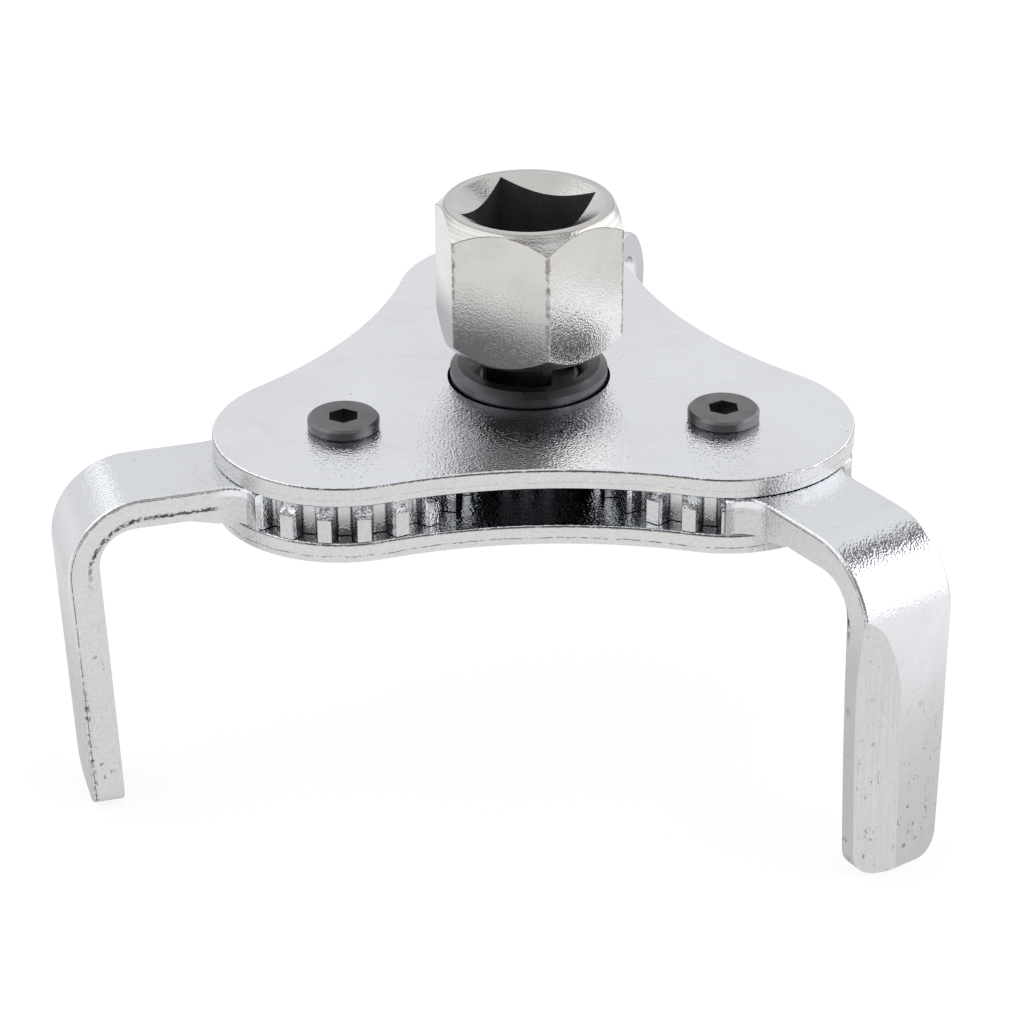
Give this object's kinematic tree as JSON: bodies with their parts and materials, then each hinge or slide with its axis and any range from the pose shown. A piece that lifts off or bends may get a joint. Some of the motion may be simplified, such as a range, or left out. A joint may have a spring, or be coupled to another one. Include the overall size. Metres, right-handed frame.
{
  "type": "oil filter wrench",
  "caption": "Two-way oil filter wrench: a square-drive nut turns a centre gear that swings geared jaw legs in or out to grip a filter can.",
  "frame": {"origin": "on the drive axis at the mouth of the square drive socket", "axes": "+Z out of the drive socket, away from the filter; +Y towards the rear pivot"},
  "size_m": [0.1093, 0.1111, 0.0709],
  "materials": {
    "plated_plate": "satin zinc plate",
    "plated_arm": "satin zinc plate",
    "plated_nut": "bright nickel plate over a grainy forging",
    "black_oxide": "satin black oxide",
    "black_screw": "satin black oxide",
    "bright_steel": "turned steel"
  },
  "bodies": {
    "frame": {"top_plate": "plated_plate", "bottom_plate": "plated_plate", "pivot_post_left": "bright_steel", "pivot_post_right": "bright_steel", "pivot_post_rear": "bright_steel", "pivot_screw_left": "black_screw", "pivot_screw_right": "black_screw", "pivot_screw_rear": "black_screw"},
    "drive": {"drive_nut": "plated_nut", "drive_shaft": "black_oxide", "sun_gear": "black_oxide", "thrust_washer": "bright_steel", "retaining_ring": "black_oxide"},
    "arm_left": {"jaw_arm_left": "plated_arm"},
    "arm_right": {"jaw_arm_right": "plated_arm"},
    "arm_rear": {"jaw_arm_rear": "plated_arm"}
  },
  "joints": [
    {"name": "drive_spin", "type": "hinge", "parent": "frame", "child": "drive", "pos_m": [0, 0, -0.029], "axis": [0, 0, 1], "range_deg": [-160, 105]},
    {"name": "arm_left_pivot", "type": "hinge", "parent": "frame", "child": "arm_left", "pos_m": [-0.02371, -0.01369, -0.029], "axis": [0, 0, 1], "range_deg": [-80.5, 122.5]},
    {"name": "arm_right_pivot", "type": "hinge", "parent": "frame", "child": "arm_right", "pos_m": [0.02371, -0.01369, -0.029], "axis": [0, 0, 1], "range_deg": [-80.5, 122.5]},
    {"name": "arm_rear_pivot", "type": "hinge", "parent": "frame", "child": "arm_rear", "pos_m": [0, 0.02738, -0.029], "axis": [0, 0, 1], "range_deg": [-80.5, 122.5]}
  ],
  "couplings": [
    {"joint": "arm_left_pivot", "follows": "drive_spin", "ratio": -0.7619},
    {"joint": "arm_right_pivot", "follows": "drive_spin", "ratio": -0.7619},
    {"joint": "arm_rear_pivot", "follows": "drive_spin", "ratio": -0.7619}
  ]
}
